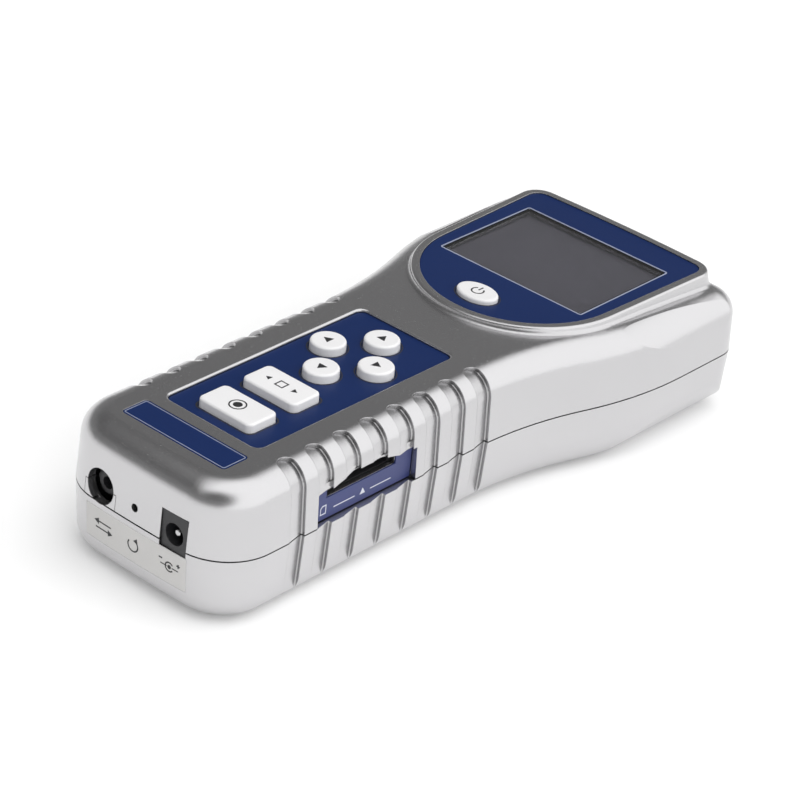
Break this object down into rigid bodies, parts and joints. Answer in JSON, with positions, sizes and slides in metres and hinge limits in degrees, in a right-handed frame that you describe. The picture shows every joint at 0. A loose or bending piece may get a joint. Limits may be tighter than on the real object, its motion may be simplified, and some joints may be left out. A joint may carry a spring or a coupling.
{
  "type": "force gauge",
  "caption": "Handheld digital force gauge: wide display head, grooved grip, recessed keypad, memory card slot, tail sockets, threaded sensing stud and screwed battery cover.",
  "frame": {"origin": "on the back face, at the middle of the overall length and width", "axes": "+Y from the tail to the sensing head, +X to the memory card side, +Z out of the keypad and display"},
  "size_m": [0.0882, 0.2186, 0.0434],
  "materials": {
    "case_silver": "satin silver paint on plastic",
    "overlay_blue": "dark blue printed film",
    "label_grey": "light grey film",
    "lens_clear": "clear acrylic",
    "display_grey": "dark grey liquid crystal glass, switched off",
    "inner_black": "moulded black",
    "inner_white": "white diffuser",
    "board_green": "green solder mask",
    "socket_black": "moulded black",
    "steel": "plated steel",
    "brass": "turned brass",
    "cell_sleeve": null,
    "load_cell_metal": "machined",
    "foil_amber": "amber film",
    "key_white": "off-white moulded rubber-hard plastic"
  },
  "bodies": {
    "case": {"backlight_panel": "inner_white", "battery_cells": "cell_sleeve", "battery_contacts": "steel", "board_screws": "steel", "bracket_screws": "steel", "card_socket": "steel", "case_screws": "steel", "data_jack": "socket_black", "data_jack_nut": "socket_black", "display_frame": "inner_black", "display_glass": "display_grey", "display_lens": "lens_clear", "display_overlay": "overlay_blue", "front_bush": "steel", "key_switches": "inner_black", "keypad_overlay": "overlay_blue", "load_cell": "load_cell_metal", "load_cell_bracket": "steel", "load_cell_screws": "steel", "lower_housing": "case_silver", "main_board": "board_green", "port_label": "label_grey", "power_jack": "socket_black", "power_jack_pin": "steel", "reset_switch": "inner_black", "slot_plate": "overlay_blue", "stand_inserts": "brass", "strain_gauges": "foil_amber", "tail_strip": "overlay_blue", "upper_housing": "case_silver"},
    "power_key": {"power_button": "key_white"},
    "up_key": {"up_button": "key_white"},
    "right_key": {"right_button": "key_white"},
    "down_key": {"down_button": "key_white"},
    "left_key": {"left_button": "key_white"},
    "set_key": {"set_button": "key_white"},
    "log_key": {"log_button": "key_white"},
    "reset_key": {"reset_plunger": "socket_black"},
    "cover": {"battery_cover": "case_silver", "cover_screws": "steel"},
    "shaft": {"sensing_shaft": "steel"}
  },
  "joints": [
    {"name": "power_press", "type": "slide", "parent": "case", "child": "power_key", "axis": [0, 0, -1], "range_m": [0, 0.0005], "stiffness_N_per_m": 800, "springref_m": -0.0004},
    {"name": "up_press", "type": "slide", "parent": "case", "child": "up_key", "axis": [0, 0, -1], "range_m": [0, 0.0005], "stiffness_N_per_m": 800, "springref_m": -0.0004},
    {"name": "right_press", "type": "slide", "parent": "case", "child": "right_key", "axis": [0, 0, -1], "range_m": [0, 0.0005], "stiffness_N_per_m": 800, "springref_m": -0.0004},
    {"name": "down_press", "type": "slide", "parent": "case", "child": "down_key", "axis": [0, 0, -1], "range_m": [0, 0.0005], "stiffness_N_per_m": 800, "springref_m": -0.0004},
    {"name": "left_press", "type": "slide", "parent": "case", "child": "left_key", "axis": [0, 0, -1], "range_m": [0, 0.0005], "stiffness_N_per_m": 800, "springref_m": -0.0004},
    {"name": "set_press", "type": "slide", "parent": "case", "child": "set_key", "axis": [0, 0, -1], "range_m": [0, 0.0005], "stiffness_N_per_m": 800, "springref_m": -0.0004},
    {"name": "log_press", "type": "slide", "parent": "case", "child": "log_key", "axis": [0, 0, -1], "range_m": [0, 0.0005], "stiffness_N_per_m": 800, "springref_m": -0.0004},
    {"name": "reset_press", "type": "slide", "parent": "case", "child": "reset_key", "axis": [0, 1, 0], "range_m": [0, 0.0003], "stiffness_N_per_m": 800, "springref_m": -0.0003},
    {"name": "cover_release", "type": "slide", "parent": "case", "child": "cover", "axis": [0, 0, -1], "range_m": [0, 0.03]},
    {"name": "shaft_load", "type": "slide", "parent": "case", "child": "shaft", "axis": [0, 1, 0], "range_m": [-0.00025, 0.00025], "stiffness_N_per_m": 4000}
  ]
}
